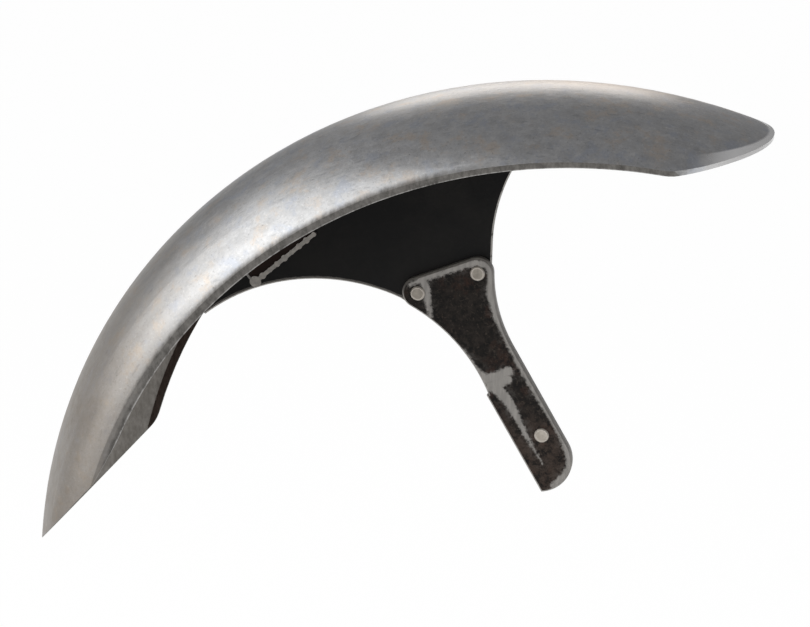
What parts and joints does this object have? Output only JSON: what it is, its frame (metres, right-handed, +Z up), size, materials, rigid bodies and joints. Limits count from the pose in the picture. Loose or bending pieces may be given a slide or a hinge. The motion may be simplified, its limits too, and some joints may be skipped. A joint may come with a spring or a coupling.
{
  "type": "motorcycle mudguard",
  "caption": "Short arched mudguard of bare steel sheet with an inward lip, held by a flat black plate and a slanting leg on one side.",
  "frame": {"origin": "on the stud's axis, at the outer face of its collar, where a fork leg or frame lug seats", "axes": "+X runs along the mudguard towards its flatter lipped end, +Y points out of the bracket side along the stud, +Z is up"},
  "size_m": [0.4833, 0.1789, 0.3303],
  "materials": {
    "bare_sheet": "bare rolled sheet, satin, lightly scuffed",
    "black_plate": "black mill scale, matt",
    "brown_strip": "red-brown scale, matt",
    "weld_metal": "raw weld",
    "scaled_leg": "mill scale with rust mottling and ground bright edges",
    "cut_pins": "cut flat, dull"
  },
  "bodies": {
    "root": {"mudguard_shell": "bare_sheet", "bracket_plate": "black_plate", "gusset_strip": "brown_strip", "weld_bead": "weld_metal", "bracket_leg": "scaled_leg", "leg_rivets": "cut_pins", "mount_stud": "cut_pins"}
  },
  "joints": []
}
